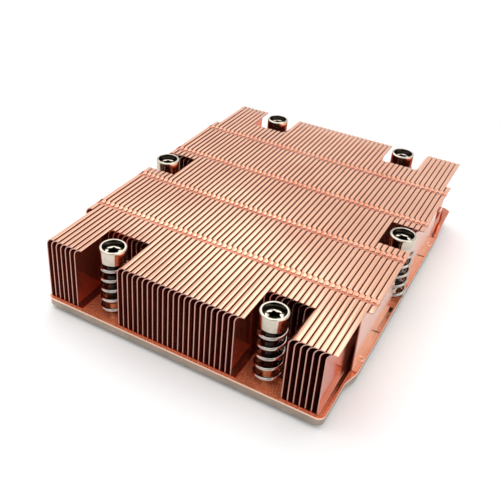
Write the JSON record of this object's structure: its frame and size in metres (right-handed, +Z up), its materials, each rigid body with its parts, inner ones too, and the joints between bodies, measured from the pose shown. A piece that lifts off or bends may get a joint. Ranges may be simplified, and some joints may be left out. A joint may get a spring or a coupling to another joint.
{
  "type": "passive server cpu heatsink",
  "caption": "Flat copper vapour chamber with a stack of folded, interlocked fins, a fill tube and captive sprung mounting screws.",
  "frame": {"origin": "middle of the chamber, on the plane of the contact pad's lower face", "axes": "+X across the fins, +Y along the fins (the air's way), +Z up, away from the processor"},
  "size_m": [0.0932, 0.118, 0.0267],
  "materials": {
    "fin_copper": "bright rolled copper",
    "chamber_copper": "satin copper",
    "tube_copper": "annealed copper",
    "screw_nickel": "bright nickel",
    "spring_steel": "bright drawn wire",
    "clip_steel": "satin"
  },
  "bodies": {
    "chamber": {"chamber_lid": "chamber_copper", "chamber_tray": "chamber_copper", "fill_tube": "tube_copper", "fin_left_1_front": "fin_copper", "fin_left_1_rear": "fin_copper", "fin_left_2_front": "fin_copper", "fin_left_2_rear": "fin_copper", "fin_left_3_front": "fin_copper", "fin_left_3_rear": "fin_copper", "fin_left_4_front": "fin_copper", "fin_left_4_rear": "fin_copper", "fin_left_5_front": "fin_copper", "fin_left_5_rear": "fin_copper", "fin_left_6_front": "fin_copper", "fin_left_6_rear": "fin_copper", "fin_left_7": "fin_copper", "fin_left_8": "fin_copper", "fin_right_1_front": "fin_copper", "fin_right_1_rear": "fin_copper", "fin_right_2_front": "fin_copper", "fin_right_2_rear": "fin_copper", "fin_right_3_front": "fin_copper", "fin_right_3_rear": "fin_copper", "fin_right_4_front": "fin_copper", "fin_right_4_rear": "fin_copper", "fin_right_5_front": "fin_copper", "fin_right_5_rear": "fin_copper", "fin_right_6_front": "fin_copper", "fin_right_6_rear": "fin_copper", "fin_right_7": "fin_copper", "fin_right_8": "fin_copper", "fins_centre": "fin_copper", "fins_notch_left": "fin_copper", "fins_notch_right": "fin_copper", "spring_front_left": "spring_steel", "spring_front_right": "spring_steel", "spring_middle_left": "spring_steel", "spring_middle_right": "spring_steel", "spring_rear_left": "spring_steel", "spring_rear_right": "spring_steel", "support_posts": "chamber_copper"},
    "carrier_front_left": {"clip_front_left": "clip_steel"},
    "driver_front_left": {"screw_front_left": "screw_nickel"},
    "carrier_front_right": {"clip_front_right": "clip_steel"},
    "driver_front_right": {"screw_front_right": "screw_nickel"},
    "carrier_middle_left": {"clip_middle_left": "clip_steel"},
    "driver_middle_left": {"screw_middle_left": "screw_nickel"},
    "carrier_middle_right": {"clip_middle_right": "clip_steel"},
    "driver_middle_right": {"screw_middle_right": "screw_nickel"},
    "carrier_rear_left": {"clip_rear_left": "clip_steel"},
    "driver_rear_left": {"screw_rear_left": "screw_nickel"},
    "carrier_rear_right": {"clip_rear_right": "clip_steel"},
    "driver_rear_right": {"screw_rear_right": "screw_nickel"}
  },
  "joints": [
    {"name": "press_front_left", "type": "slide", "parent": "chamber", "child": "carrier_front_left", "axis": [0, 0, -1], "range_m": [0, 0.0045], "stiffness_N_per_m": 5200, "springref_m": -0.002, "deforming": ["spring_front_left"]},
    {"name": "turn_front_left", "type": "hinge", "parent": "carrier_front_left", "child": "driver_front_left", "pos_m": [-0.0241, -0.0526, 0.0026], "axis": [0, 0, 1], "continuous": true},
    {"name": "press_front_right", "type": "slide", "parent": "chamber", "child": "carrier_front_right", "axis": [0, 0, -1], "range_m": [0, 0.0045], "stiffness_N_per_m": 5200, "springref_m": -0.002, "deforming": ["spring_front_right"]},
    {"name": "turn_front_right", "type": "hinge", "parent": "carrier_front_right", "child": "driver_front_right", "pos_m": [0.0261, -0.0526, 0.0026], "axis": [0, 0, 1], "continuous": true},
    {"name": "press_middle_left", "type": "slide", "parent": "chamber", "child": "carrier_middle_left", "axis": [0, 0, -1], "range_m": [0, 0.0045], "stiffness_N_per_m": 5200, "springref_m": -0.002, "deforming": ["spring_middle_left"]},
    {"name": "turn_middle_left", "type": "hinge", "parent": "carrier_middle_left", "child": "driver_middle_left", "pos_m": [-0.0407, 0, 0.0026], "axis": [0, 0, 1], "continuous": true},
    {"name": "press_middle_right", "type": "slide", "parent": "chamber", "child": "carrier_middle_right", "axis": [0, 0, -1], "range_m": [0, 0.0045], "stiffness_N_per_m": 5200, "springref_m": -0.002, "deforming": ["spring_middle_right"]},
    {"name": "turn_middle_right", "type": "hinge", "parent": "carrier_middle_right", "child": "driver_middle_right", "pos_m": [0.0427, 0, 0.0026], "axis": [0, 0, 1], "continuous": true},
    {"name": "press_rear_left", "type": "slide", "parent": "chamber", "child": "carrier_rear_left", "axis": [0, 0, -1], "range_m": [0, 0.0045], "stiffness_N_per_m": 5200, "springref_m": -0.002, "deforming": ["spring_rear_left"]},
    {"name": "turn_rear_left", "type": "hinge", "parent": "carrier_rear_left", "child": "driver_rear_left", "pos_m": [-0.0241, 0.0526, 0.0026], "axis": [0, 0, 1], "continuous": true},
    {"name": "press_rear_right", "type": "slide", "parent": "chamber", "child": "carrier_rear_right", "axis": [0, 0, -1], "range_m": [0, 0.0045], "stiffness_N_per_m": 5200, "springref_m": -0.002, "deforming": ["spring_rear_right"]},
    {"name": "turn_rear_right", "type": "hinge", "parent": "carrier_rear_right", "child": "driver_rear_right", "pos_m": [0.0261, 0.0526, 0.0026], "axis": [0, 0, 1], "continuous": true}
  ]
}
